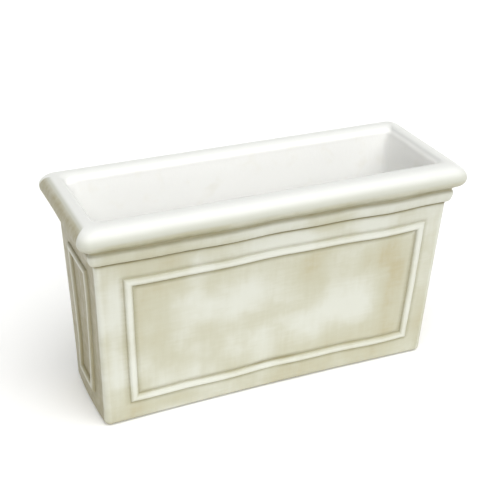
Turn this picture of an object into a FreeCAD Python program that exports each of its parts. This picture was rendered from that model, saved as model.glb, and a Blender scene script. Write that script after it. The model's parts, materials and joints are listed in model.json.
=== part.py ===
"""Self watering planter: a double-walled trough with a lift-out soil platform above its water tank."""

import FreeCAD, Part
import math
import os

V = FreeCAD.Vector

# ---- driving dimensions, millimetres ----------------------------------------------------------------
# Frame: X along the trough, Y towards its back, Z up, origin on the ground under the centre.
HEIGHT = 457.0            # ground to the crest of the rim
BASE_Z = 2.0              # underside of the moulding, held up by the foot pads
BODY_TOP_Z = 373.0        # top of the plain tapered walls
BODY_TOP = (372.5, 121.5)     # half length and half width at the top of the tapered walls
BODY_BOTTOM = (359.0, 103.5)  # the same at the underside
BODY_CORNER_R = 9.0
SKIN = 4.0                # thickness of each skin of the double wall
EDGE_R = 4.0              # rounding of the bottom edge

OVOLO_OUT = 11.0          # the small quarter-round moulding under the rim
NECK_TOP_Z = 405.0
RIM_OUT = 32.0            # overhang of the rim past the body
RIM_UNDER_Z = 416.0
RIM_CORNER_R = 35.0
RIM_OUTER_R = 31.0        # bullnose radius on the outside of the rim
RIM_INNER_R = 10.0
RIM_UNDER_R = 8.0
RIM_HOLLOW_Z = 448.0      # top of the hollow inside the rim

TUB_TOP = (360.0, 94.0)       # half length and half width of the mouth
TUB_BOTTOM = (345.0, 84.0)    # the same at the floor of the water tank
TUB_FLOOR_Z = 14.0
TUB_CORNER_R = 18.0

BEAD_WIDTH = 17.0         # half-round bead of the panel frames
BEAD_PROUD = 6.0
BEAD_ROOT = 2.5
FRAME_Z = (57.0, 327.0)   # centre lines of the bottom and top beads
LONG_STILE = 56.5         # bead centre line to the body's corner on the long sides
END_STILE = 67.5          # the same on the ends
FRONT_FRAME_X = 4.0       # the front frame sits this far to the right of the middle

FITTING_X = 280.0         # overflow and drain, both through the back wall
OVERFLOW_Z = 80.5
DRAIN_Z = 26.0
OVERFLOW_R = 10.0         # thread radius of the overflow fitting
DRAIN_R = 6.5             # thread radius of the drain bushing
OVERFLOW_BOSS_R = 15.0
DRAIN_BOSS_R = 15.0
SEAT = 1.5                # how far a moulded seat stands proud of each wall face

PLATE_TOP_Z = 110.0       # soil platform
PLATE_THICK = 4.0
PLATE_HALF = (346.0, 85.2)
PLATE_CORNER_R = 17.0
PLATE_SKIRT = 10.0
POST_X = (-322.0, -100.0, 100.0, 322.0)
POST_Y = (-64.0, 64.0)
POST_R = 11.0
CUP_X = {"left": -200.0, "centre": 0.0, "right": 200.0}
CUP_R = 44.0

TUBE_Y = -66.0            # fill tube and level gauge stand against the front wall
FILL_X = -290.0
FILL_R = 16.0
FILL_BORE_R = 14.0
FILL_TOP_Z = 404.0
GAUGE_X = 290.0
GAUGE_R = 13.0
GAUGE_BORE_R = 11.5
GAUGE_TOP_Z = 398.0

FOOT_AT = (300.0, 70.0)   # foot pads, at plus and minus these
FOOT_R = 20.7
FOOT_POCKET = 3.0         # depth of the pocket that a foot pad sits in
FOOT_BOSS_R = 28.0
SCREW_R = 2.4
VENTS = ((-150.0, 0.0), (150.0, 0.0))
VENT_R = 5.0
GAP = 0.2                 # clearance between pieces that lift apart
FIT = 0.05                # radial clearance of a running fit


# ---- shape helpers ----------------------------------------------------------------------------------
def rounded_rectangle(half, radius, z):
    """Closed wire of a rectangle with rounded corners, centred on the Z axis at height z."""
    hx, hy = half
    edges = []
    for turn, (sx, sy) in enumerate(((1, -1), (1, 1), (-1, 1), (-1, -1))):
        centre = V(sx * (hx - radius), sy * (hy - radius), z)
        start = -90.0 + 90.0 * turn
        edges.append(Part.makeCircle(radius, centre, V(0, 0, 1), start, start + 90.0))
    wire = []
    for arc, following in zip(edges, edges[1:] + edges[:1]):
        wire.append(arc)
        wire.append(Part.makeLine(arc.lastVertex().Point, following.firstVertex().Point))
    return Part.Wire(wire)


def tapered(half_low, half_high, radius, z_low, z_high):
    """Solid with four sloping plane sides between two rectangles, its four upright edges rounded."""
    (x0, y0), (x1, y1) = half_low, half_high
    solid = Part.makeWedge(-x0, z_low, -y0, -y1, -x1, x0, z_high, y0, y1, x1)
    solid.rotate(V(0, 0, 0), V(1, 0, 0), 90)
    upright = [edge for edge in solid.Edges if edge.BoundBox.ZLength > 1]
    return solid.makeFillet(radius, upright)


def shrink(half, by):
    """A half length and half width, both smaller by the same amount."""
    return (half[0] - by, half[1] - by)


def body_half(z):
    """Half length and half width of the outer wall at height z."""
    k = (z - BASE_Z) / (BODY_TOP_Z - BASE_Z)
    return tuple(low + k * (high - low) for low, high in zip(BODY_BOTTOM, BODY_TOP))


def tub_half(z):
    """Half length and half width of the inner wall at height z."""
    k = (z - TUB_FLOOR_Z) / (HEIGHT - TUB_FLOOR_Z)
    return tuple(low + k * (high - low) for low, high in zip(TUB_BOTTOM, TUB_TOP))


def level_edges(solid, z):
    """Edges that lie flat at height z."""
    found = []
    for edge in solid.Edges:
        box = edge.BoundBox
        if abs(box.ZMin - z) < 1e-4 and abs(box.ZMax - z) < 1e-4:
            found.append(edge)
    return found


def rounded_block(half, corner_r, z_low, z_high, low_r, high_r):
    """Upright block with rounded corners, and with its bottom and top edges rounded."""
    face = Part.Face(rounded_rectangle(half, corner_r, z_low))
    block = face.extrude(V(0, 0, z_high - z_low))
    block = block.makeFillet(high_r, level_edges(block, z_high))
    if low_r > 0:
        block = block.makeFillet(low_r, level_edges(block, z_low))
    return block


def rod(radius, start, end):
    """Round bar between two points."""
    run = V(*end) - V(*start)
    return Part.makeCylinder(radius, run.Length, V(*start), run)


def pipe(outer, inner, start, end):
    """Round tube between two points."""
    return rod(outer, start, end).cut(rod(inner, start, end))


def bar(x, y, z):
    """Rectangular block from three (low, high) pairs."""
    return Part.makeBox(x[1] - x[0], y[1] - y[0], z[1] - z[0], V(x[0], y[0], z[0]))


def hexagon_nut(across_flats, thickness, bore_r, x, y, z):
    """Hexagon nut whose axis lies along Y and whose near face is at y."""
    corner_r = across_flats / math.sqrt(3.0)
    points = []
    for step in range(7):
        angle = math.radians(60.0 * step)
        points.append(V(x + corner_r * math.cos(angle), y, z + corner_r * math.sin(angle)))
    nut = Part.Face(Part.makePolygon(points)).extrude(V(0, thickness, 0))
    return nut.cut(rod(bore_r, (x, y - 1, z), (x, y + thickness + 1, z)))


def save(name, shape):
    """Write one sub-part."""
    print("%-24s solids %d  volume %9.1f cm3  valid %s" % (
        name, len(shape.Solids), shape.Volume / 1000.0, shape.isValid()))
    shape.exportStep("parts/%s.step" % name)


# ---- planter shell: outer wall, rim, inner tub and the closed hollow between them ----------------------
def bead_frame(corners, outward):
    """Half-round bead, mitred at its corners, round a panel; the corners lie on the bead's centre line."""
    half = BEAD_WIDTH / 2
    sections = []
    for here, before, after in zip(corners, corners[-1:] + corners[:-1], corners[1:] + corners[:1]):
        across = outward.cross((here - before).normalize())
        onward = outward.cross((after - here).normalize())
        mitre = (across + onward) * (half / (1 + across.dot(onward)))
        root = outward * -BEAD_ROOT
        arc = Part.Arc(here - mitre, here + outward * BEAD_PROUD, here + mitre).toShape()
        floor = [here + mitre, here + mitre + root, here - mitre + root, here - mitre]
        lines = [Part.makeLine(p, q) for p, q in zip(floor, floor[1:])]
        sections.append([arc] + lines)
    faces = []
    for section, following in zip(sections, sections[1:] + sections[:1]):
        for edge, matching in zip(section, following):
            faces.append(Part.makeRuledSurface(edge, matching))
    shell = Part.makeShell(faces)
    shell.sewShape()
    solid = Part.makeSolid(shell)
    return solid if solid.Volume > 0 else solid.reversed()


def long_side_frame(side):
    """Bead frame on the front (side -1) or the back (side 1)."""
    corners = []
    middle = FRONT_FRAME_X if side < 0 else 0.0
    for sign, z in ((-1, FRAME_Z[0]), (1, FRAME_Z[0]), (1, FRAME_Z[1]), (-1, FRAME_Z[1])):
        hx, hy = body_half(z)
        corners.append(V(middle + sign * (hx - LONG_STILE), side * hy, z))
    upward = (corners[2] + corners[3] - corners[0] - corners[1]).normalize()
    outward = V(-side, 0, 0).cross(upward)
    return bead_frame(corners, outward)


def end_frame(side):
    """Bead frame on the left end (side -1) or the right end (side 1)."""
    corners = []
    for sign, z in ((-1, FRAME_Z[0]), (1, FRAME_Z[0]), (1, FRAME_Z[1]), (-1, FRAME_Z[1])):
        hx, hy = body_half(z)
        corners.append(V(side * hx, sign * (hy - END_STILE), z))
    upward = (corners[2] + corners[3] - corners[0] - corners[1]).normalize()
    outward = V(0, side, 0).cross(upward)
    return bead_frame(corners, outward)


def outer_form():
    """Everything inside the outer surface: tapered walls, ovolo, neck and bullnose rim."""
    walls = tapered(BODY_BOTTOM, BODY_TOP, BODY_CORNER_R, BASE_Z, BODY_TOP_Z + 1)
    walls = walls.makeFillet(EDGE_R, level_edges(walls, BASE_Z))
    neck_half = shrink(BODY_TOP, -OVOLO_OUT)
    neck_r = BODY_CORNER_R + OVOLO_OUT
    ovolo = Part.Face(rounded_rectangle(neck_half, neck_r, BODY_TOP_Z)).extrude(
        V(0, 0, NECK_TOP_Z - BODY_TOP_Z))
    ovolo = ovolo.makeFillet(OVOLO_OUT - 1.0, level_edges(ovolo, BODY_TOP_Z))
    rim_half = shrink(BODY_TOP, -RIM_OUT)
    rise = 2.0
    slant = tapered(neck_half, shrink(rim_half, 7.0), neck_r, NECK_TOP_Z, RIM_UNDER_Z + rise)
    rim = rounded_block(rim_half, RIM_CORNER_R, RIM_UNDER_Z, HEIGHT, RIM_UNDER_R, RIM_OUTER_R)
    return walls.fuse([ovolo, slant, rim])


def wall_hollow():
    """The closed space between the two skins."""
    low_z, high_z = BASE_Z + SKIN, RIM_UNDER_Z + 10.0
    low = shrink(body_half(low_z), SKIN)
    high = shrink(body_half(high_z), SKIN)
    walls = tapered(low, high, BODY_CORNER_R - SKIN, low_z, high_z)
    rim_half = shrink(BODY_TOP, SKIN + 2.0 - RIM_OUT)
    rim = rounded_block(rim_half, RIM_CORNER_R - SKIN - 2.0, RIM_UNDER_Z + 6, RIM_HOLLOW_Z, 0, 24.0)
    hollow = walls.fuse(rim)
    lining_low = shrink(TUB_BOTTOM, -SKIN)
    lining_high = shrink(TUB_TOP, -SKIN)
    lining = tapered(lining_low, lining_high, TUB_CORNER_R + SKIN, TUB_FLOOR_Z - SKIN, HEIGHT)
    return hollow.cut(lining)


def foot_places():
    """Names and centres of the four foot pads."""
    hx, hy = FOOT_AT
    return {
        "front_left": (-hx, -hy),
        "front_right": (hx, -hy),
        "back_left": (-hx, hy),
        "back_right": (hx, hy),
    }


def seat_span(z):
    """Y of the inner and the outer seat that a fitting through the back wall is clamped between."""
    return (tub_half(z)[1] - SEAT - 0.5, body_half(z)[1] + SEAT)


def inside_mouth(edge):
    """True for an edge of the mouth, where the rim meets the tub."""
    box = edge.BoundBox
    return max(box.XMax, -box.XMin) < TUB_TOP[0] + 1 and max(box.YMax, -box.YMin) < TUB_TOP[1] + 1


def planter_shell():
    """One moulding: outer form less the tub and the hollow, with panel frames, seats and bosses."""
    tub = tapered(TUB_BOTTOM, TUB_TOP, TUB_CORNER_R, TUB_FLOOR_Z, HEIGHT)
    solid = outer_form().cut(tub)
    mouth = [edge for edge in level_edges(solid, HEIGHT) if inside_mouth(edge)]
    solid = solid.makeFillet(RIM_INNER_R, mouth)
    for side in (-1, 1):
        solid = solid.fuse(long_side_frame(side)).fuse(end_frame(side))
    hollow = wall_hollow()
    for x, y in foot_places().values():
        hollow = hollow.cut(rod(FOOT_BOSS_R, (x, y, BASE_Z), (x, y, TUB_FLOOR_Z)))
    for z, radius in ((OVERFLOW_Z, OVERFLOW_BOSS_R), (DRAIN_Z, DRAIN_BOSS_R)):
        inner, outer = seat_span(z)
        boss = rod(radius, (FITTING_X, inner, z), (FITTING_X, outer, z))
        solid = solid.fuse(boss)
        hollow = hollow.cut(boss)
    for x, y in VENTS:
        hollow = hollow.fuse(rod(VENT_R, (x, y, 0), (x, y, BASE_Z + SKIN + 2)))
    solid = solid.cut(hollow)
    holes = [rod(OVERFLOW_R + 0.15, (FITTING_X, 60, OVERFLOW_Z), (FITTING_X, 150, OVERFLOW_Z))]
    holes.append(rod(DRAIN_R + 0.15, (FITTING_X, 60, DRAIN_Z), (FITTING_X, 150, DRAIN_Z)))
    for x, y in foot_places().values():
        holes.append(rod(FOOT_R + 0.3, (x, y, 0), (x, y, BASE_Z + FOOT_POCKET)))
        holes.append(rod(SCREW_R, (x, y, 0), (x, y, TUB_FLOOR_Z - 1)))
    for hole in holes:
        solid = solid.cut(hole)
    return solid


def build_shell():
    """The shell, its vent plugs, and its screwed-on foot pads."""
    save("planter_shell", planter_shell())
    plugs = []
    for x, y in VENTS:
        head = Part.makeCone(6.5, 8.0, 1.2, V(x, y, BASE_Z - 1.2))
        plugs.append(head.fuse(rod(VENT_R, (x, y, BASE_Z), (x, y, BASE_Z + SKIN + 2))))
    save("vent_plugs", Part.makeCompound(plugs))
    screws = []
    for name, (x, y) in foot_places().items():
        top = BASE_Z + FOOT_POCKET
        pad = rod(FOOT_R, (x, y, 0), (x, y, top))
        pad = pad.makeFillet(1.0, level_edges(pad, 0))
        pad = pad.cut(rod(SCREW_R + 0.2, (x, y, -1), (x, y, top + 1)))
        pad = pad.cut(rod(5.4, (x, y, -1), (x, y, 3.0)))
        save("foot_pad_" + name, pad)
        head = rod(5.0, (x, y, 1.0), (x, y, 3.0))
        screws.append(head.fuse(rod(SCREW_R, (x, y, 3.0), (x, y, TUB_FLOOR_Z - 1.5))))
    save("foot_pad_screws", Part.makeCompound(screws))


# ---- overflow: a bulkhead fitting that sets the highest water level -------------------------------------
def build_overflow():
    """Flanged spigot, gasket, lock nut and inside strainer, clamped through the double wall."""
    x, z = FITTING_X, OVERFLOW_Z
    inner, outer = seat_span(z)
    gasket, flange, nut = 2.0, 4.0, 8.0
    flange_r = 14.8           # just inside the moulded seat
    spigot_r, bore_r = 8.0, 6.0
    nut_size = 29.0           # across flats
    face = outer + gasket
    save("overflow_gasket", pipe(flange_r - 0.5, OVERFLOW_R + 0.15, (x, outer, z), (x, face, z)))
    tail = inner - nut - 14.0
    spigot = face + flange + 16.0
    body = rod(OVERFLOW_R, (x, tail, z), (x, face, z))
    body = body.fuse(rod(flange_r, (x, face, z), (x, face + flange, z)))
    body = body.fuse(rod(spigot_r, (x, face, z), (x, spigot, z)))
    body = body.cut(rod(bore_r, (x, tail - 1, z), (x, spigot + 1, z)))
    save("overflow_fitting", body)
    save("overflow_nut", hexagon_nut(nut_size, nut, OVERFLOW_R, x, inner - nut, z))
    cage = pipe(12.0, OVERFLOW_R, (x, tail - 8, z), (x, tail + 8, z))
    cage = cage.fuse(rod(12.0, (x, tail - 10, z), (x, tail - 8, z)))
    slots = []
    for step in range(6):
        slot = bar((x - 1.0, x + 1.0), (tail - 7, tail - 1), (z, z + 14))
        slot.rotate(V(x, 0, z), V(0, 1, 0), 60.0 * step)
        slots.append(slot)
    save("overflow_strainer", cage.cut(Part.makeCompound(slots)))


# ---- drain: a bushing near the tank floor and its pull-out plug -----------------------------------------
def build_drain():
    """Flanged bushing, gasket and nut through the wall; plug with its sealing ring."""
    x, z = FITTING_X, DRAIN_Z
    inner, outer = seat_span(z)
    gasket, flange, nut = 2.0, 3.0, 6.0
    bore = 4.6
    face = outer + gasket
    save("drain_gasket", pipe(12.5, DRAIN_R + 0.15, (x, outer, z), (x, face, z)))
    bushing = rod(DRAIN_R, (x, inner - nut - 3, z), (x, face, z))
    bushing = bushing.fuse(rod(13.0, (x, face, z), (x, face + flange, z)))
    save("drain_bushing", bushing.cut(rod(bore, (x, inner - nut - 4, z), (x, face + flange + 1, z))))
    save("drain_nut", hexagon_nut(20.0, nut, DRAIN_R, x, inner - nut, z))
    head = face + flange + GAP
    shank = bore - FIT
    ring_y = inner + 6.0
    cord_r = 0.7
    groove_r = shank - 2 * cord_r - FIT
    plug = rod(shank, (x, inner - 6, z), (x, head, z))
    plug = plug.cut(pipe(shank + 1, groove_r, (x, ring_y - 1.1, z), (x, ring_y + 1.1, z)))
    plug = plug.fuse(rod(10.5, (x, head, z), (x, head + 3, z)))
    plug = plug.fuse(bar((x - 2.0, x + 2.0), (head + 3, head + 15), (z - 9.0, z + 9.0)))
    save("drain_plug", plug)
    ring = Part.makeTorus(groove_r + cord_r + FIT / 2, cord_r, V(x, ring_y, z), V(0, 1, 0))
    save("drain_plug_o_ring", ring)


# ---- soil platform: perforated false floor on posts ------------------------------------------------------
def clear_of(x, y, taken):
    """True where a slot at (x, y) stays clear of every round place in the list."""
    return all(math.hypot(x - px, y - py) > reach for px, py, reach in taken)


def build_platform():
    """Plate with skirt, tube collars, cup holes and rows of air slots; its posts stand on the tank floor."""
    low = PLATE_TOP_Z - PLATE_THICK
    skirt_low = low - PLATE_SKIRT
    edge = 3.0
    outline = rounded_rectangle(PLATE_HALF, PLATE_CORNER_R, skirt_low)
    hollow = rounded_rectangle(shrink(PLATE_HALF, edge), PLATE_CORNER_R - edge, skirt_low)
    plate = Part.Face(outline).extrude(V(0, 0, PLATE_TOP_Z - skirt_low))
    plate = plate.cut(Part.Face(hollow).extrude(V(0, 0, PLATE_SKIRT)))
    collars = [rod(FILL_R + 3.5, (FILL_X, TUBE_Y, low), (FILL_X, TUBE_Y, PLATE_TOP_Z + 22))]
    collars.append(rod(GAUGE_R + 3.5, (GAUGE_X, TUBE_Y, low), (GAUGE_X, TUBE_Y, PLATE_TOP_Z + 18)))
    plate = plate.fuse(collars)
    cuts = [rod(FILL_R + 0.1, (FILL_X, TUBE_Y, 0), (FILL_X, TUBE_Y, 200))]
    cuts.append(rod(GAUGE_R + 0.1, (GAUGE_X, TUBE_Y, 0), (GAUGE_X, TUBE_Y, 200)))
    taken = [(FILL_X, TUBE_Y, 36.0), (GAUGE_X, TUBE_Y, 33.0)]
    for x in CUP_X.values():
        cuts.append(rod(CUP_R + 0.5, (x, 0, low - 1), (x, 0, PLATE_TOP_Z + 1)))
        taken.append((x, 0.0, CUP_R + 22.0))
    for x in POST_X:
        for y in POST_Y:
            taken.append((x, y, POST_R + 14.0))
    for column in range(-8, 9):
        for row in range(-2, 3):
            x, y = 38.0 * column, 32.0 * row
            if clear_of(x, y, taken):
                cuts.append(bar((x - 10, x + 10), (y - 1.5, y + 1.5), (low - 1, PLATE_TOP_Z + 1)))
    save("soil_platform", plate.cut(Part.makeCompound(cuts)))
    number = 0
    for x in POST_X:
        for y in POST_Y:
            number += 1
            foot = TUB_FLOOR_Z + GAP
            post = pipe(POST_R, POST_R - 2.5, (x, y, foot), (x, y, low))
            save("platform_post_%d" % number, post)


def build_cups():
    """Wicking cups: slotted baskets of soil that hang through the platform into the water."""
    bottom = TUB_FLOOR_Z + 2.0
    length = PLATE_TOP_Z - bottom
    wall = 2.5
    low_r = CUP_R - 7.0
    for name, x in CUP_X.items():
        cup = Part.makeCone(low_r, CUP_R, length, V(x, 0, bottom))
        cup = cup.fuse(rod(CUP_R + 6.0, (x, 0, PLATE_TOP_Z), (x, 0, PLATE_TOP_Z + 2.5)))
        hollow = Part.makeCone(low_r - wall, CUP_R - wall, length, V(x, 0, bottom + wall))
        cup = cup.cut(hollow).cut(rod(CUP_R - wall, (x, 0, PLATE_TOP_Z - 1), (x, 0, PLATE_TOP_Z + 5)))
        slots = []
        for step in range(12):
            for level in (0, 1):
                z = bottom + 8.0 + 34.0 * level
                slot = bar((x, x + 60), (-1.5, 1.5), (z, z + 26.0))
                slot.rotate(V(x, 0, 0), V(0, 0, 1), 30.0 * step + 15.0)
                slots.append(slot)
        save("wicking_cup_" + name, cup.cut(Part.makeCompound(slots)))


# ---- fill tube with its flip lid --------------------------------------------------------------------------
def build_fill_tube():
    """Tube down to the tank, a collar with hinge ears at its mouth, the lid and the hinge pin."""
    x, y, top = FILL_X, TUBE_Y, FILL_TOP_Z
    tube = pipe(FILL_R, FILL_BORE_R, (x, y, TUB_FLOOR_Z + 4), (x, y, top))
    notches = bar((x - 20, x + 20), (y - 4, y + 4), (TUB_FLOOR_Z + 3, TUB_FLOOR_Z + 22))
    save("fill_tube", tube.cut(notches))
    pin_x, pin_z, pin_r = x - 22.0, top + 3.0, 1.5
    knuckle_r = 3.6
    collar = pipe(FILL_R + 3.0, FILL_R, (x, y, top - 12), (x, y, top))
    for side in (-1, 1):
        ys = sorted((y + side * 7.0, y + side * 11.0))
        ear = bar((pin_x - knuckle_r, x - FILL_R - 0.5), ys, (top - 8, top))
        ear = ear.fuse(bar((pin_x - knuckle_r, pin_x + knuckle_r), ys, (top - 1, pin_z)))
        ear = ear.fuse(rod(knuckle_r, (pin_x, ys[0], pin_z), (pin_x, ys[1], pin_z)))
        collar = collar.fuse(ear.cut(rod(FILL_R + 1, (x, y, top - 14), (x, y, top + 14))))
    collar = collar.cut(rod(pin_r, (pin_x, y - 12, pin_z), (pin_x, y + 12, pin_z)))
    save("fill_tube_collar", collar)
    save("fill_lid_pin", rod(pin_r, (pin_x, y - 11.5, pin_z), (pin_x, y + 11.5, pin_z)))
    low, high = top + 0.4, top + 4.0
    lid = rod(FILL_R + 3.0, (x, y, low), (x, y, high))
    lid = lid.fuse(rod(knuckle_r - 0.1, (pin_x, y - 6.7, pin_z), (pin_x, y + 6.7, pin_z)))
    lid = lid.fuse(bar((pin_x, x - 12), (y - 6.7, y + 6.7), (low, high)))
    lid = lid.fuse(bar((x + 16, x + 24), (y - 6, y + 6), (low, low + 2.4)))
    lid = lid.fuse(pipe(FILL_BORE_R - 0.7, FILL_BORE_R - 2.5, (x, y, top - 3.6), (x, y, low + 0.5)))
    save("fill_lid", lid.cut(rod(pin_r + FIT, (pin_x, y - 8, pin_z), (pin_x, y + 8, pin_z))))


# ---- water level gauge: a float on a rod inside a clear tube ----------------------------------------------
def build_gauge():
    """Clear tube, guide cap, float, rod and the indicator knob that shows above the soil."""
    x, y, top = GAUGE_X, TUBE_Y, GAUGE_TOP_Z
    rod_r = 2.5
    tube = pipe(GAUGE_R, GAUGE_BORE_R, (x, y, TUB_FLOOR_Z + 4), (x, y, top))
    slots = bar((x - 20, x + 20), (y - 2.5, y + 2.5), (TUB_FLOOR_Z + 3, TUB_FLOOR_Z + 40))
    save("gauge_tube", tube.cut(slots))
    cap = pipe(GAUGE_R + 2.0, GAUGE_R, (x, y, top - 8), (x, y, top))
    cap = cap.fuse(rod(GAUGE_R + 2.0, (x, y, top), (x, y, top + 3)))
    save("gauge_guide_cap", cap.cut(rod(rod_r + 2 * FIT, (x, y, top - 9), (x, y, top + 4))))
    float_low = TUB_FLOOR_Z + 8.0
    float_high = float_low + 30.0
    save("gauge_float", rod(GAUGE_BORE_R - 1.0, (x, y, float_low), (x, y, float_high)))
    rod_top = top + 9.0
    save("gauge_rod", rod(rod_r, (x, y, float_high), (x, y, rod_top)))
    knob = rod(6.0, (x, y, top + 3.4), (x, y, rod_top + 6))
    knob = knob.makeFillet(2.5, level_edges(knob, rod_top + 6))
    save("gauge_knob", knob.cut(rod(rod_r, (x, y, top), (x, y, rod_top))))


os.makedirs("parts", exist_ok=True)
build_shell()
build_overflow()
build_drain()
build_platform()
build_cups()
build_fill_tube()
build_gauge()
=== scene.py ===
"""Self watering planter: a stone-finish trough whose soil stands on a lift-out platform over its water."""

import json
import math

import bmesh
import bpy
import numpy as np
from mathutils import Matrix, Vector


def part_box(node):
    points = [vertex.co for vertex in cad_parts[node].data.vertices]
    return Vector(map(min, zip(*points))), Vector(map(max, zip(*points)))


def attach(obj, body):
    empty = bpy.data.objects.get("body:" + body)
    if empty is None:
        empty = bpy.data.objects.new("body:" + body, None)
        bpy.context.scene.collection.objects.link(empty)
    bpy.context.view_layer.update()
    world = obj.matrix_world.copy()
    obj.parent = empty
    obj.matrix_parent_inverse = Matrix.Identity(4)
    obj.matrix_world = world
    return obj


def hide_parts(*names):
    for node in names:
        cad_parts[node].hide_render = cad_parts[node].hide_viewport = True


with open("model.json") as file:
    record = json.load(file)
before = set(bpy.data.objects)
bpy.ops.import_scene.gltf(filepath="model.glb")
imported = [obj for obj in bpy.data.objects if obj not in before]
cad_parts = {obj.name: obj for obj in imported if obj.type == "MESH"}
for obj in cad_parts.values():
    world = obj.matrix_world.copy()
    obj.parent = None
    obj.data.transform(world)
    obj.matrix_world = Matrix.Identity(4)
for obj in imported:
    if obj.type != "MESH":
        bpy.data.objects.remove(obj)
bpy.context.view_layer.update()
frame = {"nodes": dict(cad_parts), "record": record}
nodes = frame["nodes"]
MM = 0.001


# ---- Planter shell ---------------------------------------------------------------------------------------
# One hollow moulding in a limestone-filled resin. The rim is a fat bullnose over a slanting underside and a
# small quarter-round; the tapered walls carry half-round bead frames. All of it comes out of one mould.
CREST_Z, WALL_TOP_Z, WALL_LOW_Z = 457.0, 373.0, 2.0
WALL_TOP_A, WALL_TOP_B = 372.5, 121.5        # half length and half width under the mouldings
WALL_LOW_A, WALL_LOW_B = 359.0, 103.5        # the same at the ground
MOUTH_A, MOUTH_B = 360.0, 94.0               # half size of the mouth
TUB_A, TUB_B, TUB_FLOOR_Z = 345.0, 84.0, 14.0
WALL_R_LOW, WALL_R_TOP = 11.0, 7.0           # rounding of the upright corners
FOOT_EDGE_R = 7.0
BEAD_HALF, BEAD_PROUD = 8.5, 5.6
BEAD_LOW_Z, BEAD_TOP_Z = 57.0, 327.0
STILE_LONG, STILE_END = 56.5, 67.5           # corner of the wall to the bead's centre line
FRONT_FRAME_SHIFT = 4.0                      # the front frame sits a little to the right in the mould
BEAD_STEPS = np.array([-10.6, -9.3, -8.5, -8.2, -7.6, -6.6, -5.3, -3.7, -1.9, 0.0,
                       1.9, 3.7, 5.3, 6.6, 7.6, 8.2, 8.5, 9.3, 10.6])
CORNER_STEPS = 7


def wall_fraction(z):
    """0 at the ground and 1 under the mouldings."""
    return (z - WALL_LOW_Z) / (WALL_TOP_Z - WALL_LOW_Z)


def side_positions(half, radius, exact, stile, shift, spans, ref_half, ref_radius):
    """Grid lines along one side, between its two corner arcs, one row of them for each row of the profile.

    On wall rows a line keeps its distance from the wall's corner, so lines run true to the bead; on other
    rows the same lines are stretched to the side's straight length.
    """
    near = np.concatenate([[12.0, 24.0, 37.0], stile + BEAD_STEPS, [stile + 18.0]])

    def lines(h):
        left, right = shift - h + near, shift + h - near
        left[:3] -= shift * (1.0 - near[:3] / stile)
        right[:3] -= shift * (1.0 - near[:3] / stile)
        middle = np.linspace(left[-1], right[-1], spans + 1)[1:-1]
        return np.concatenate([left, middle, right[::-1]])

    stretched = lines(ref_half)[None, :] * ((half - radius) / (ref_half - ref_radius))[:, None]
    return np.where(exact[:, None], np.array([lines(h) for h in half]), stretched)


def ring_grid(a, b, radius, left_radius, exact):
    """Points of rounded rectangles, one ring for each row, anticlockwise from the front left.

    The second result is each column's side: 0 front, 1 right, 2 back, 3 left, -1 on a corner arc.
    """
    blocks, sides = [], []
    for turn in range(4):
        long_side = turn in (0, 2)
        start_r, end_r = ((left_radius, radius), (radius, radius), (radius, left_radius),
                          (left_radius, left_radius))[turn]
        stile, spans, ref_half = (STILE_LONG, 18, 368.0) if long_side else (STILE_END, 8, 114.0)
        shift = FRONT_FRAME_SHIFT if turn == 0 else 0.0
        along = side_positions(a if long_side else b, np.maximum(start_r, end_r), exact, stile, shift, spans,
                               ref_half, 9.0)
        across = (b if long_side else a)[:, None] * np.ones_like(along)
        x, y = ((along, -across), (across, along), (-along, across), (-across, -along))[turn]
        blocks.append(np.stack([x, y], -1))
        sides += [turn] * along.shape[1]
        sx, sy = ((1, -1), (1, 1), (-1, 1), (-1, -1))[turn]
        angle = np.radians(-90.0 + 90.0 * turn + np.linspace(0.0, 90.0, CORNER_STEPS + 1))
        cx, cy = sx * (a - end_r), sy * (b - end_r)
        arc_x = cx[:, None] + end_r[:, None] * np.cos(angle)[None, :]
        arc_y = cy[:, None] + end_r[:, None] * np.sin(angle)[None, :]
        blocks.append(np.stack([arc_x, arc_y], -1))
        sides += [-1] * len(angle)
    return np.concatenate(blocks, 1), np.array(sides)


def curve(points, steps):
    """Smooth curve through a few points: Catmull-Rom, the same number of steps in each span."""
    p = np.array([points[0]] + list(points) + [points[-1]], float)
    spans = []
    for k in range(1, len(p) - 2):
        t = np.linspace(0.0, 1.0, steps, endpoint=False)[:, None]
        spans.append(0.5 * (2 * p[k] + (p[k + 1] - p[k - 1]) * t
                            + (2 * p[k - 1] - 5 * p[k] + 4 * p[k + 1] - p[k + 2]) * t ** 2
                            + (3 * p[k] - p[k - 1] - 3 * p[k + 1] + p[k + 2]) * t ** 3))
    return np.concatenate(spans + [p[-1:]])


def bead_height(d):
    """Half-round bead over the distance from its centre line, with a fine groove along both of its feet."""
    d = np.abs(d)
    crown = BEAD_PROUD * np.sqrt(np.clip(1.0 - (d / BEAD_HALF) ** 2, 0.0, 1.0))
    return crown - 0.7 * np.exp(-((d - BEAD_HALF - 0.6) / 0.9) ** 2)


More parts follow.
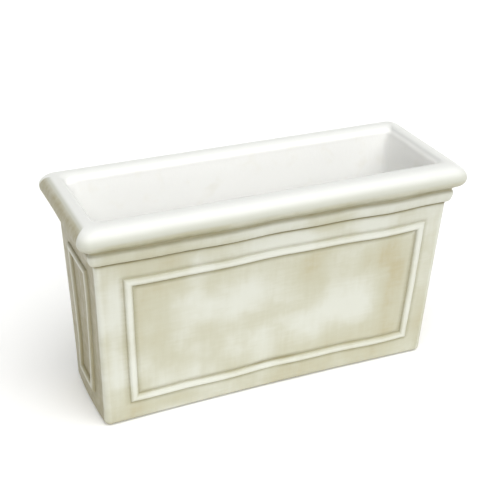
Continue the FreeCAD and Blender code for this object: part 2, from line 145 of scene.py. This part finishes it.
# Rows of the profile: (kind, half length, half width, corner radius, radius of the left corners, height).
rows = []
bottom_a, bottom_b = WALL_LOW_A - FOOT_EDGE_R, WALL_LOW_B - FOOT_EDGE_R
for share in (0.2, 0.4, 0.6, 0.8, 0.92, 1.0):
    inset, radius = bottom_b * (1.0 - share), 9.0 * share
    rows.append(("base", bottom_a - inset, bottom_b - inset, radius, radius, WALL_LOW_Z))
for angle in np.radians(np.linspace(-75.0, -8.0, 6)):
    out, up = FOOT_EDGE_R * (math.cos(angle) - 1.0), FOOT_EDGE_R * (math.sin(angle) + 1.0)
    rows.append(("base", WALL_LOW_A + out, WALL_LOW_B + out, WALL_R_LOW, WALL_R_LOW, WALL_LOW_Z + up))
wall_z = [10.0, 15.0, 22.0, 31.0, 40.0] + list(BEAD_LOW_Z + BEAD_STEPS)
wall_z += list(np.linspace(BEAD_LOW_Z + 18.0, BEAD_TOP_Z - 18.0, 16)) + list(BEAD_TOP_Z + BEAD_STEPS)
wall_z += [344.0, 352.0, 359.0, 363.0, 366.0, 368.5, 370.5]
for z in wall_z:
    k = wall_fraction(z)
    radius = WALL_R_LOW + k * (WALL_R_TOP - WALL_R_LOW)
    wall_a = WALL_LOW_A + k * (WALL_TOP_A - WALL_LOW_A)
    wall_b = WALL_LOW_B + k * (WALL_TOP_B - WALL_LOW_B)
    rows.append(("wall", wall_a, wall_b, radius, radius, z))
ovolo = curve([(-1.4, 371.6), (-1.2, 373.2), (5.0, 374.6), (8.6, 379.4), (10.8, 387.0), (11.4, 393.5),
               (11.0, 396.6), (9.6, 398.6), (8.8, 401.0)], 3)
underside = curve([(9.6, 404.0), (12.6, 407.6), (17.8, 411.0), (23.4, 414.6), (28.0, 419.0),
                   (30.9, 424.6)], 3)
bullnose = [(-1.1 + 33.0 * math.cos(t), 430.0 + 27.0 * math.sin(t))
            for t in np.radians(np.linspace(2, 90, 17))]
for name, points in (("ovolo", ovolo), ("under", underside), ("rim", bullnose)):
    for out, z in points:
        if name == "ovolo":
            radius = WALL_R_TOP + 0.3 * max(out, 0.0)
        elif name == "under":
            radius = 9.6 + 0.55 * (out - 9.0)
        else:
            radius = 13.0 + 9.0 * (out + 1.1) / 33.0
        rows.append((name, WALL_TOP_A + out, WALL_TOP_B + out, radius, radius, z))
brink = curve([(0.0, 0.0, 0.0), (-2.4, -6.5, -0.4), (-4.6, -12.5, -1.9), (-6.4, -18.0, -4.0),
               (-7.9, -21.6, -6.4), (-9.6, -24.4, -9.6), (-10.8, -26.0, -14.0), (-11.2, -26.3, -20.0)], 3)[1:]
for step, (out_a, out_b, drop) in enumerate(brink):
    share = (step + 1.0) / len(brink)
    rows.append(("brink", WALL_TOP_A - 1.1 + out_a, WALL_TOP_B - 1.1 + out_b, 13.0 - 2.0 * share,
                 13.0 + 13.0 * share, CREST_Z + drop))
for z in (428.0, 410.0, 370.0, 320.0, 270.0, 220.0, 170.0, 120.0, 80.0, 50.0, 30.0):
    k = (z - TUB_FLOOR_Z) / (CREST_Z - TUB_FLOOR_Z)
    rows.append(("tub", TUB_A + k * (MOUTH_A - TUB_A), TUB_B + k * (MOUTH_B - TUB_B), 11.0 + 5.0 * (1.0 - k),
                 26.0 - 8.0 * (1.0 - k), z))
for angle in np.radians((0.0, 22.5, 45.0, 67.5, 90.0)):
    inset = 8.0 * (1.0 - math.cos(angle))
    floor_z = TUB_FLOOR_Z + 8.0 * (1.0 - math.sin(angle))
    rows.append(("tub", TUB_A - inset, TUB_B - inset, 16.0, 18.0, floor_z))
for share in (0.9, 0.7, 0.5, 0.3, 0.1):
    inset = (TUB_B - 8.0) * (1.0 - share)
    rows.append(("tub", TUB_A - 8.0 - inset, TUB_B - 8.0 - inset, 16.0 * share, 18.0 * share, TUB_FLOOR_Z))

kinds = np.array([row[0] for row in rows])
half_a, half_b, corner_r, left_r, height = (np.array([row[k] for row in rows]) for k in range(1, 6))
wall = kinds == "wall"
moulded = np.isin(kinds, ("base", "wall", "ovolo", "under", "rim"))[:, None]
flat, side_of = ring_grid(half_a, half_b, corner_r, left_r, wall)
X, Y = flat[..., 0].copy(), flat[..., 1].copy()
Z = np.repeat(height[:, None], X.shape[1], 1)
row_z = height[:, None]
on_corner = (side_of == -1)[None, :]

# Bead frames. Their grooves darken with antique stain and painted shade: most under the top bead and on both
# sides of the bottom one.
lean_long = math.atan2(WALL_TOP_B - WALL_LOW_B, WALL_TOP_Z - WALL_LOW_Z)
lean_end = math.atan2(WALL_TOP_A - WALL_LOW_A, WALL_TOP_Z - WALL_LOW_Z)
stain_and_shade, lift, ends = np.zeros_like(X), np.zeros_like(X), np.zeros_like(X)
for side, half, stile, shift, lean in ((0, half_a, STILE_LONG, FRONT_FRAME_SHIFT, lean_long),
                                       (1, half_b, STILE_END, 0.0, lean_end),
                                       (2, half_a, STILE_LONG, 0.0, lean_long),
                                       (3, half_b, STILE_END, 0.0, lean_end)):
    along = X if side in (0, 2) else Y
    sideways, above, below = np.abs(along - shift) - (half[:, None] - stile), Z - BEAD_TOP_Z, BEAD_LOW_Z - Z
    d = np.maximum(sideways, np.maximum(above, below))
    on = wall[:, None] & (side_of == side)[None, :]
    rise = np.where(on, bead_height(d), 0.0)
    outward = ((0, -1), (1, 0), (0, 1), (-1, 0))[side]
    X += rise * outward[0] * math.cos(lean)
    Y += rise * outward[1] * math.cos(lean)
    Z -= rise * math.sin(lean)
    lift = np.where(on, np.clip(rise / BEAD_PROUD, 0.0, 1.0), lift)
    inner_line = np.exp(-((d + BEAD_HALF + 0.8) / 2.2) ** 2)
    outer_line = np.exp(-((d - BEAD_HALF - 0.8) / 2.0) ** 2)
    level = np.where(above > sideways, 1.0, np.where(below > sideways, 2.0, 0.0))
    inner_share = np.choose(level.astype(int), (0.45, 1.00, 0.60))
    outer_share = np.choose(level.astype(int), (0.40, 0.30, 0.85))
    stain_and_shade = np.where(on, np.maximum(inner_line * inner_share, outer_line * outer_share), stain_and_shade)
    # The ends' mask: stain runs with painted shade.
    if side in (1, 3):
        cover = np.clip((455.0 - row_z) / 10.0, 0.0, 1.0) * np.clip((row_z - 2.5) / 6.0, 0.0, 1.0)
        cover = cover * np.where(on & (d < 0.0), 1.0, 0.86)
        ends = np.where(moulded & (side_of == side)[None, :], cover, ends)

# Cooling pulls the long walls in and lets the ends belly out at the foot; the whole skin is slightly uneven.
k = np.clip(wall_fraction(Z), 0.0, 1.0)
reach_x, reach_y = np.clip(np.abs(X) / WALL_TOP_A, 0.0, 1.0), np.clip(np.abs(Y) / WALL_TOP_B, 0.0, 1.0)
fade = np.clip((CREST_Z - Z) / 30.0, 0.0, 1.0)
dish = (7.2 - 5.8 * k) * (1.0 - reach_x ** 2) * fade * np.clip(reach_y * 2.0, 0.0, 1.0)
belly = (7.0 * (1.0 - k) ** 2 - 1.8 * np.sin(np.pi * k)) * (1.0 - reach_y ** 2)
belly = belly * np.clip(reach_x * 3.0 - 2.0, 0.0, 1.0)
wave_x = np.where(moulded, 0.6 * np.sin(X / 71.0 + Z / 53.0) + 0.45 * np.sin(X / 29.0 - Z / 61.0), 0.0)
wave_y = np.where(moulded, 0.5 * np.sin(Y / 41.0 + Z / 47.0 + 0.6) + 0.3 * np.sin(Z / 26.0), 0.0)
sag = 1.5 * np.sin(X / 63.0 + 0.9) + 0.8 * np.sin(X / 27.0 + 2.0) + 0.8 * np.sin(Y / 33.0 + 0.4)
stiff = np.clip((CREST_Z - 22.0 - Z) / 40.0, 0.0, 1.0) * np.clip((Z - WALL_LOW_Z) / 30.0, 0.0, 1.0)
Y -= np.sign(Y) * np.where(moulded, dish, 0.0)
X += np.sign(X) * np.where(moulded, belly, 0.0)
outward = np.array([((0, -1), (1, 0), (0, 1), (-1, 0), (0, 0))[side] for side in side_of], float)
body_only = np.where(kinds == "base", 0.0, 1.0)[:, None]
Y += outward[None, :, 1] * wave_x * fade * body_only
X += outward[None, :, 0] * wave_y * fade * body_only
Z += np.where(moulded, sag * stiff, 0.0)

# The mouth sits a little towards the back, so the back of the rim is the narrower band.
MOUTH_SET_BACK = 6.0
set_back = MOUTH_SET_BACK * np.clip((row_z - 250.0) / 180.0, 0.0, 1.0)
set_back = set_back * np.isin(kinds, ("brink", "tub"))[:, None]
lip = np.clip((WALL_TOP_B - 1.1 - half_b) / 26.0, 0.0, 1.0)[:, None]
Y += np.clip(flat[..., 1] / MOUTH_B, 0.0, 1.0) ** 3 * set_back * lip

# Darker under the quarter-round, in the neck and under the rim: antique stain with painted shade on these
# downward-facing undersides. Also darker along the ground.
stain_and_shade = np.maximum(stain_and_shade, np.where(moulded, 1.0 * np.exp(-((row_z - 371.4) / 4.0) ** 2), 0.0))
stain_and_shade = np.maximum(stain_and_shade, np.where(moulded, 0.9 * np.exp(-((row_z - 402.5) / 5.0) ** 2), 0.0))
stain_and_shade = np.maximum(stain_and_shade, np.where(np.isin(kinds, ("under", "rim"))[:, None],
                                   0.8 * np.clip((433.0 - row_z) / 24.0, 0.0, 1.0), 0.0))
stain_and_shade = np.maximum(stain_and_shade, np.where(moulded, 0.5 * np.clip((9.0 - row_z) / 7.0, 0.0, 1.0), 0.0))
# The rim grows paler towards its crest, wear with painted highlight; on the ends only the very top does,
# painted shade on the ends' rim.
rim = np.where(np.isin(kinds, ("rim", "brink", "tub"))[:, None],
               np.clip((row_z - 420.0) / 36.0, 0.0, 1.0), 0.0)
on_end = np.isin(side_of, (1, 3))[None, :] & (kinds == "rim")[:, None]
rim = np.where(on_end, np.clip((row_z - 450.0) / 6.0, 0.0, 1.0), rim)
rim = np.maximum(rim, np.isin(kinds, ("brink", "tub"))[:, None] * 1.0) * np.ones_like(X)
inside = np.where(kinds == "brink", np.clip((CREST_Z - height - 4.0) / 6.0, 0.0, 1.0), kinds == "tub")
inside = inside[:, None] * np.ones_like(X)
# Crowns of the beads, the upper quarter-round and the upright corners: rubbed paler, with painted highlight.
crown = np.maximum(0.55 * lift, np.where((kinds == "ovolo")[:, None],
                                         0.30 * np.clip((row_z - 378.0) / 12.0, 0.0, 1.0), 0.0))
crown = np.maximum(crown, np.where(on_corner & wall[:, None], 0.35, 0.0))

# Marks left by the wiping cloth on the front: (share of the length from the left, share of the height, half
# length, half height, strength), tan above zero and bare pale coat below it. Cloudy noise makes the rest.
smudge = np.zeros_like(X)
for along, up, wide, tall, strength in ((0.60, 0.70, 50, 50, 0.55), (0.80, 0.70, 40, 40, 0.55),
                                        (0.12, 0.70, 25, 45, 0.50), (0.20, 0.08, 70, 18, 0.55),
                                        (0.85, 0.40, 20, 90, 0.40), (0.40, 0.50, 150, 30, 0.30),
                                        (0.36, 0.66, 75, 45, -0.65), (0.68, 0.40, 110, 42, -0.65),
                                        (0.05, 0.55, 16, 150, -0.60), (0.60, 0.93, 180, 16, -0.60)):
    smudge += strength * np.exp(-((X - (2.0 * along - 1.0) * WALL_TOP_A) / wide) ** 2
                                - ((Z - up * WALL_TOP_Z) / tall) ** 2)
smudge *= np.where(side_of == 0, 1.0, 0.0)[None, :] * wall[:, None]


def closed_grid(name, points, attributes):
    """Mesh of a grid that closes round its columns, with one flat face across its first and its last row.

    Face (i, j) joins rows i and i+1 with columns j and j+1; attributes are float values, one per point.
    """
    count, columns = points.shape[:2]
    index = np.arange(count * columns).reshape(count, columns)
    following = np.roll(index, -1, axis=1)
    faces = np.stack([index[:-1], following[:-1], following[1:], index[1:]], -1).reshape(-1, 4).tolist()
    faces += [index[0, ::-1].tolist(), index[-1].tolist()]
    mesh = bpy.data.meshes.new(name)
    mesh.from_pydata((points.reshape(-1, 3) * MM).tolist(), [], faces)
    for key, values in attributes.items():
        layer = mesh.attributes.new(key, "FLOAT", "POINT")
        layer.data.foreach_set("value", values.reshape(-1).astype(np.float32))
    shape = bmesh.new()
    shape.from_mesh(mesh)
    bmesh.ops.remove_doubles(shape, verts=shape.verts, dist=0.00002)
    bmesh.ops.dissolve_degenerate(shape, edges=shape.edges, dist=0.00001)
    for face in shape.faces:
        face.smooth = True
    shape.to_mesh(mesh)
    shape.free()
    mesh.validate()
    piece = bpy.data.objects.new(name, mesh)
    bpy.context.scene.collection.objects.link(piece)
    return piece


shell = closed_grid("moulded_shell", np.stack([X, Y, Z], -1),
                    {"stain_and_shade": stain_and_shade, "inside": inside, "crown": crown, "rim": rim, "ends": ends,
                     "smudge": smudge})


def linear(hex_colour):
    """An sRGB hex colour as linear red, green, blue, alpha."""
    channels = [int(hex_colour[k:k + 2], 16) / 255.0 for k in (1, 3, 5)]
    return [c / 12.92 if c <= 0.04045 else ((c + 0.055) / 1.055) ** 2.4 for c in channels] + [1.0]


def add(tree, kind, settings=None, out=0, **inputs):
    """Add a node and give its output.

    Settings are its properties; inputs are values or sockets to link, by the socket's name or _number.
    """
    node = tree.nodes.new(kind)
    for key, value in (settings or {}).items():
        setattr(node, key, value)
    for key, value in inputs.items():
        socket = node.inputs[int(key[1:])] if key[0] == "_" else node.inputs[key.replace("_", " ")]
        if isinstance(value, bpy.types.NodeSocket):
            tree.links.new(value, socket)
        else:
            socket.default_value = value
    return node.outputs[out]


def new_material(name, roughness, ior, metallic=0.0):
    """A material with only its Principled shader, and its node tree."""
    material = bpy.data.materials.new(name)
    material.use_nodes = True
    tree = material.node_tree
    shader = tree.nodes["Principled BSDF"]
    shader.inputs["Roughness"].default_value = roughness
    shader.inputs["IOR"].default_value = ior
    shader.inputs["Metallic"].default_value = metallic
    return material, tree, shader


NOISE, MIX, MAP = "ShaderNodeTexNoise", "ShaderNodeMix", "ShaderNodeMapRange"
SMOOTH, COLOUR = {"interpolation_type": "SMOOTHSTEP"}, {"data_type": "RGBA"}
TIMES, PLUS = ({"operation": name} for name in ("MULTIPLY", "ADD"))

# Cast-stone finish: cream polyester gelcoat, wiped with an olive-tan antiquing stain that stays in the
# hollows and in cloudy smudges, and rubbed back to the pale coat on raised edges. Painted shade darkens the
# grooves, undersides and ends, and painted highlight lightens raised edges and the rim's crest. Satin,
# polyester's IOR.
# Clouds are 150 mm across, drifts 46 mm, wiping streaks 9 mm and 5 mm, the sprayed grain 1.6 mm.
stone, tree, shader = new_material("Polyester_gelcoat_wiped_antique_stain", 0.42, 1.52)
place = add(tree, "ShaderNodeTexCoord", out="Object")
stain_and_shade_in, crown_in, inside_in, rim_in, ends_in, smudge_in = (
    add(tree, "ShaderNodeAttribute", {"attribute_name": name}, out="Fac")
    for name in ("stain_and_shade", "crown", "inside", "rim", "ends", "smudge"))
clouds = add(tree, NOISE, Vector=place, Scale=1.0 / (150.0 * MM), Detail=1.0, Distortion=0.2)
drifts = add(tree, NOISE, Vector=place, Scale=1.0 / (46.0 * MM), Detail=2.0, Roughness=0.5, Distortion=0.3)
upright_place = add(tree, "ShaderNodeMapping", Vector=place, Scale=(1.0, 1.0, 0.09))
streaks = add(tree, NOISE, Vector=upright_place, Scale=1.0 / (9.0 * MM), Detail=5.0, Roughness=0.65)
level_place = add(tree, "ShaderNodeMapping", Vector=place, Scale=(0.12, 0.12, 1.0))
wipes = add(tree, NOISE, Vector=level_place, Scale=1.0 / (5.0 * MM), Detail=5.0, Roughness=0.6)
dots = add(tree, NOISE, Vector=place, Scale=1.0 / (2.0 * MM), Detail=3.0, Roughness=0.7)
satin = add(tree, NOISE, Vector=place, Scale=1.0 / (18.0 * MM), Detail=3.0)
fine = add(tree, NOISE, Vector=place, Scale=1.0 / (1.6 * MM), Detail=4.0, Roughness=0.6)
orange_peel = add(tree, NOISE, Vector=place, Scale=1.0 / (9.0 * MM), Detail=3.0)

cloudy = add(tree, MAP, SMOOTH, _0=clouds, _1=0.34, _2=0.66, _3=-0.34, _4=0.22)
drifting = add(tree, MAP, SMOOTH, _0=drifts, _1=0.34, _2=0.66, _3=-0.10, _4=0.10)
wiped = add(tree, MAP, SMOOTH, _0=wipes, _1=0.3, _2=0.7, _3=-0.05, _4=0.05)
ran = add(tree, MAP, SMOOTH, _0=streaks, _1=0.3, _2=0.7, _3=-0.05, _4=0.05)
# Less stain on the crowns: rubbed back, with painted highlight.
rubbed_and_lit = add(tree, "ShaderNodeMath", TIMES, _0=crown_in, _1=-0.75)
tone = cloudy
for part in (drifting, wiped, ran, rubbed_and_lit, smudge_in):
    tone = add(tree, "ShaderNodeMath", PLUS, _0=tone, _1=part)
bare = add(tree, MAP, SMOOTH, _0=tone, _1=0.20, _2=-0.70)
stained = add(tree, MAP, SMOOTH, _0=tone, _1=0.05, _2=0.85)
coat = add(tree, MIX, COLOUR, out=2, _0=bare, _6=linear("#B8B6A0"), _7=linear("#CBCCC1"))
coat = add(tree, MIX, COLOUR, out=2, _0=stained, _6=coat, _7=linear("#ACA17D"))

# The ends are darker: stain in upright runs, with painted shade on the ends.
runs_and_end_shade = add(tree, MAP, SMOOTH, _0=streaks, _1=0.25, _2=0.72, _3=0.75, _4=1.0)
runs_and_end_shade = add(tree, "ShaderNodeMath", TIMES, _0=runs_and_end_shade, _1=ends_in)
spared = add(tree, MAP, _0=crown_in, _1=0.0, _2=1.0, _3=1.0, _4=0.55)
runs_and_end_shade = add(tree, "ShaderNodeMath", TIMES, _0=runs_and_end_shade, _1=spared)
coat = add(tree, MIX, COLOUR, out=2, _0=runs_and_end_shade, _6=coat, _7=linear("#89805E"))

# Crest of the rim: rubbed almost bare, with painted highlight growing paler towards the top.
crest_share = add(tree, MAP, SMOOTH, _0=rim_in, _1=0.35, _2=0.95)
rim_share = add(tree, MAP, SMOOTH, _0=rim_in, _1=0.0, _2=0.3)
crest_wear_and_highlight = add(tree, MIX, COLOUR, out=2, _0=crest_share, _6=linear("#BDBEB2"), _7=linear("#DEDFDB"))
coat = add(tree, MIX, COLOUR, out=2, _0=rim_share, _6=coat, _7=crest_wear_and_highlight)

# Tops of the beads, rubbed back to the bare coat, with painted highlight.
rubbed_and_highlight_share = add(tree, MAP, SMOOTH, _0=crown_in, _1=0.42, _2=0.56, _3=0.0, _4=0.5)
coat = add(tree, MIX, COLOUR, out=2, _0=rubbed_and_highlight_share, _6=coat, _7=linear("#D9DAD0"))

# Stain settled in grooves and hollows, with painted shade under the beads and the rim mouldings.
held = add(tree, MAP, SMOOTH, _0=wipes, _1=0.3, _2=0.7, _3=0.78, _4=1.0)
stain_and_shade_share = add(tree, "ShaderNodeMath", TIMES, _0=stain_and_shade_in, _1=held)
coat = add(tree, MIX, COLOUR, out=2, _0=stain_and_shade_share, _6=coat, _7=linear("#857D56"))
speck = add(tree, MAP, SMOOTH, _0=dots, _1=0.56, _2=0.8, _3=0.0, _4=0.06)
coat = add(tree, MIX, COLOUR, out=2, _0=speck, _6=coat, _7=linear("#7C7450"))

# Inside of the tub: the bare coat with a few tan scuffs.
scuff = add(tree, MAP, SMOOTH, _0=drifts, _1=0.54, _2=0.76, _3=0.0, _4=0.22)
tub_coat = add(tree, MIX, COLOUR, out=2, _0=scuff, _6=linear("#FBFBF8"), _7=linear("#E9E5D6"))
coat = add(tree, MIX, COLOUR, out=2, _0=inside_in, _6=coat, _7=tub_coat)
tree.links.new(coat, shader.inputs["Base Color"])
gloss = add(tree, MAP, SMOOTH, _0=satin, _1=0.3, _2=0.7, _3=0.36, _4=0.52)
tree.links.new(gloss, shader.inputs["Roughness"])
swell = add(tree, "ShaderNodeMath", TIMES, _0=orange_peel, _1=2.0)
grain = add(tree, "ShaderNodeMath", PLUS, _0=fine, _1=swell)
tree.links.new(add(tree, "ShaderNodeBump", Strength=0.12, Distance=0.001, Height=grain),
               shader.inputs["Normal"])

shell.data.materials.append(stone)
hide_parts("planter_shell")
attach(shell, "shell")


# ---- Fitting seats ----------------------------------------------------------------------------------------
# Two round pads moulded with the wall, one at the overflow and one at the drain, that give each gasket and
# each lock nut a flat face. Same gelcoat as the shell, with a soft edge, and bored for the fitting.
def turned_seat(name, centre_x, centre_z, bore, radius, y_in, y_out, edge=1.2, steps=64):
    """Closed ring turned about an axis along Y: a rectangular section with its two outer corners rounded.

    Point (i, j) is section point i carried round to angle j.
    """
    quarter = np.radians(np.linspace(0.0, 90.0, 5))
    core = radius - edge
    r = np.concatenate([[bore], core + edge * np.sin(quarter), core + edge * np.cos(quarter), [bore]])
    rise, fall = edge * (1.0 - np.cos(quarter)), edge * (1.0 - np.sin(quarter))
    y = np.concatenate([[y_in], y_in + rise, y_out - fall, [y_out]])
    turn = np.linspace(0.0, 2.0 * np.pi, steps, endpoint=False)
    points = np.stack([centre_x + r[:, None] * np.sin(turn), y[:, None] * np.ones(steps),
                       centre_z + r[:, None] * np.cos(turn)], -1)
    count = len(r)
    index = np.arange(count * steps).reshape(count, steps)
    down, across = np.roll(index, -1, axis=0), np.roll(index, -1, axis=1)
    faces = np.stack([index, across, np.roll(down, -1, axis=1), down], -1).reshape(-1, 4)
    mesh = bpy.data.meshes.new(name)
    mesh.from_pydata((points.reshape(-1, 3) * MM).tolist(), [], faces.tolist())
    for key in ("stain_and_shade", "crown"):
        layer = mesh.attributes.new(key, "FLOAT", "POINT")
        layer.data.foreach_set("value", np.full(count * steps, 0.3, np.float32))
    for face in mesh.polygons:
        face.use_smooth = True
    mesh.update()
    piece = bpy.data.objects.new(name, mesh)
    bpy.context.scene.collection.objects.link(piece)
    return piece


SEAT_R = 15.0
SEAT_BORES = {"overflow": 10.2, "drain": 6.7}
for fitting, bore in SEAT_BORES.items():
    gasket_low, gasket_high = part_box(fitting + "_gasket")
    nut_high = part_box(fitting + "_nut")[1]
    centre_x, centre_z = (0.5 * (gasket_low[axis] + gasket_high[axis]) / MM for axis in (0, 2))
    seat = turned_seat(fitting + "_seat", centre_x, centre_z, bore, SEAT_R, nut_high[1] / MM,
                       gasket_low[1] / MM)
    seat.data.materials.append(stone)
    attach(seat, "shell")


# ---- Moulded plastic, rubber, steel and clear pieces ----------------------------------------------------
# The platform, posts, cups and tubes are injection-moulded or extruded stock parts that keep their modelled
# shapes. Each takes the finish of its own stuff.
def moulded_plastic(name, base, fleck, roughness, ior=1.49, flow_mm=6.0, metallic=0.0, skin_mm=0.8):
    """Even colour with faint flow marks, and a fine skin from the die, over the given sizes."""
    material, tree, shader = new_material(name, roughness, ior, metallic)
    place = add(tree, "ShaderNodeTexCoord", out="Object")
    marks = add(tree, NOISE, Vector=place, Scale=1.0 / (flow_mm * MM), Detail=4.0, Roughness=0.6,
                Distortion=0.4)
    flow = add(tree, MAP, SMOOTH, _0=marks, _1=0.35, _2=0.7)
    coat = add(tree, MIX, COLOUR, out=2, _0=flow, _6=linear(base), _7=linear(fleck))
    tree.links.new(coat, shader.inputs["Base Color"])
    patches = add(tree, NOISE, Vector=place, Scale=1.0 / (3.0 * MM), Detail=2.0)
    gloss = add(tree, MAP, SMOOTH, _0=patches, _1=0.3, _2=0.7, _3=max(roughness - 0.06, 0.03),
                _4=roughness + 0.08)
    tree.links.new(gloss, shader.inputs["Roughness"])
    skin = add(tree, NOISE, Vector=place, Scale=1.0 / (skin_mm * MM), Detail=2.0)
    tree.links.new(add(tree, "ShaderNodeBump", Strength=0.25, Distance=0.0002, Height=skin),
                   shader.inputs["Normal"])
    return material


clear = moulded_plastic("Polycarbonate_clear_extruded", "#E9F1F0", "#DCE8E6", 0.08, 1.585, 20.0,
                        skin_mm=12.0)
clear.node_tree.nodes["Principled BSDF"].inputs["Transmission Weight"].default_value = 0.9
finishes = {
    "black_plastic": moulded_plastic("Polypropylene_moulded_black", "#1B1C1B", "#262726", 0.45),
    "charcoal_plastic": moulded_plastic("Recycled_polypropylene_charcoal", "#2B2C2B", "#3C3D3C", 0.52,
                                        flow_mm=14.0),
    "grey_plastic": moulded_plastic("PVC_extruded_grey", "#7E827C", "#8A8D87", 0.4, ior=1.53),
    "white_plastic": moulded_plastic("Acetal_moulded_white", "#E6E6E1", "#DEDED8", 0.28),
    "red_plastic": moulded_plastic("ABS_moulded_signal_red", "#B3241A", "#A81F17", 0.25, ior=1.53),
    "float_foam": moulded_plastic("Polyethylene_foam_closed_cell", "#EAE8DF", "#D9D6CA", 0.7, flow_mm=1.2),
    "rubber": moulded_plastic("EPDM_rubber_moulded", "#202020", "#2A2A29", 0.72, ior=1.5),
    "stainless": moulded_plastic("Stainless_steel_A2_bright", "#B9BAB8", "#A9AAA8", 0.25, 1.5, 1.0, 1.0, 0.4),
    "clear_tube": clear,
}

slot_of = {row["node"]: row["material_slot"] for row in frame["record"]["subparts"]}
for name, piece in nodes.items():
    if name == "planter_shell":
        continue
    piece.data.materials.clear()
    piece.data.materials.append(finishes[slot_of[name]])


# ---- Floor, light and camera -----------------------------------------------------------------------------
# A plain white floor whose far edge curves up, in a softly lit white room, with one broad soft key from above
# the front.
SWEEP_R, SWEEP_CURVE, SWEEP_TOP = 10.0, 1.5, 3.0     # metres: flat floor, its upward curve, its top edge
bend = np.radians(np.linspace(0.0, 90.0, 9))
sweep_r = np.concatenate([[0.02, 3.0], SWEEP_R + SWEEP_CURVE * np.sin(bend), [SWEEP_R + SWEEP_CURVE]])
sweep_z = np.concatenate([[0.0, 0.0], SWEEP_CURVE * (1.0 - np.cos(bend)), [SWEEP_TOP]])
turn = np.linspace(0.0, 2.0 * np.pi, 96, endpoint=False)
# Each ring of the floor has its own radius and height; the innermost is closed by one face.
sweep = np.stack([sweep_r[:, None] * np.cos(turn), sweep_r[:, None] * np.sin(turn),
                  sweep_z[:, None] * np.ones(len(turn))], -1)
index = np.arange(sweep.shape[0] * len(turn)).reshape(sweep.shape[:2])
onward = np.roll(index, -1, axis=1)
faces = np.stack([index[:-1], index[1:], onward[1:], onward[:-1]], -1).reshape(-1, 4).tolist()
floor_mesh = bpy.data.meshes.new("floor")
floor_mesh.from_pydata(sweep.reshape(-1, 3).tolist(), [], faces + [index[0].tolist()])
floor = bpy.data.objects.new("floor", floor_mesh)
bpy.context.scene.collection.objects.link(floor)
floor_finish, tree, shader = new_material("Paper_white_matt", 0.9, 1.45)
shader.inputs["Base Color"].default_value = linear("#FDFDFC")
floor_mesh.materials.append(floor_finish)

world = bpy.data.worlds.new("white_room")
world.use_nodes = True
world.node_tree.nodes["Background"].inputs["Color"].default_value = (1.0, 1.0, 1.0, 1.0)
world.node_tree.nodes["Background"].inputs["Strength"].default_value = 0.3
bpy.context.scene.world = world


def sun_light(name, azimuth, elevation, width, strength):
    """Parallel light from so many degrees right of the front and up; its width softens shadow edges."""
    lamp = bpy.data.lights.new(name, "SUN")
    lamp.angle = math.radians(width)
    lamp.energy = strength
    holder = bpy.data.objects.new(name, lamp)
    turn, rise = math.radians(azimuth), math.radians(elevation)
    source = Vector((math.sin(turn) * math.cos(rise), -math.cos(turn) * math.cos(rise), math.sin(rise)))
    holder.rotation_euler = source.to_track_quat("Z", "Y").to_euler()
    bpy.context.scene.collection.objects.link(holder)


sun_light("soft_key", 4.0, 58.0, 75.0, 3.2)

AZIMUTH, ELEVATION, ROLL = (math.radians(v) for v in (-24.53, 28.27, 1.23))
DISTANCE, AIM = 2.1654, Vector((-0.0110, 0.0, 0.2766))
back = Vector((math.sin(AZIMUTH) * math.cos(ELEVATION), -math.cos(AZIMUTH) * math.cos(ELEVATION),
               math.sin(ELEVATION)))
level = Vector((math.cos(AZIMUTH), math.sin(AZIMUTH), 0.0))
upright = back.cross(level)
right = level * math.cos(ROLL) + upright * math.sin(ROLL)
up = upright * math.cos(ROLL) - level * math.sin(ROLL)
camera = bpy.data.objects.new("camera", bpy.data.cameras.new("camera"))
camera.data.sensor_width = 36.0
camera.data.lens = 76.08
turned = Matrix((right, up, back)).transposed().to_4x4()
camera.matrix_world = Matrix.Translation(AIM + back * DISTANCE) @ turned
bpy.context.scene.collection.objects.link(camera)
bpy.context.scene.camera = camera
bpy.context.scene.view_settings.view_transform = "Standard"
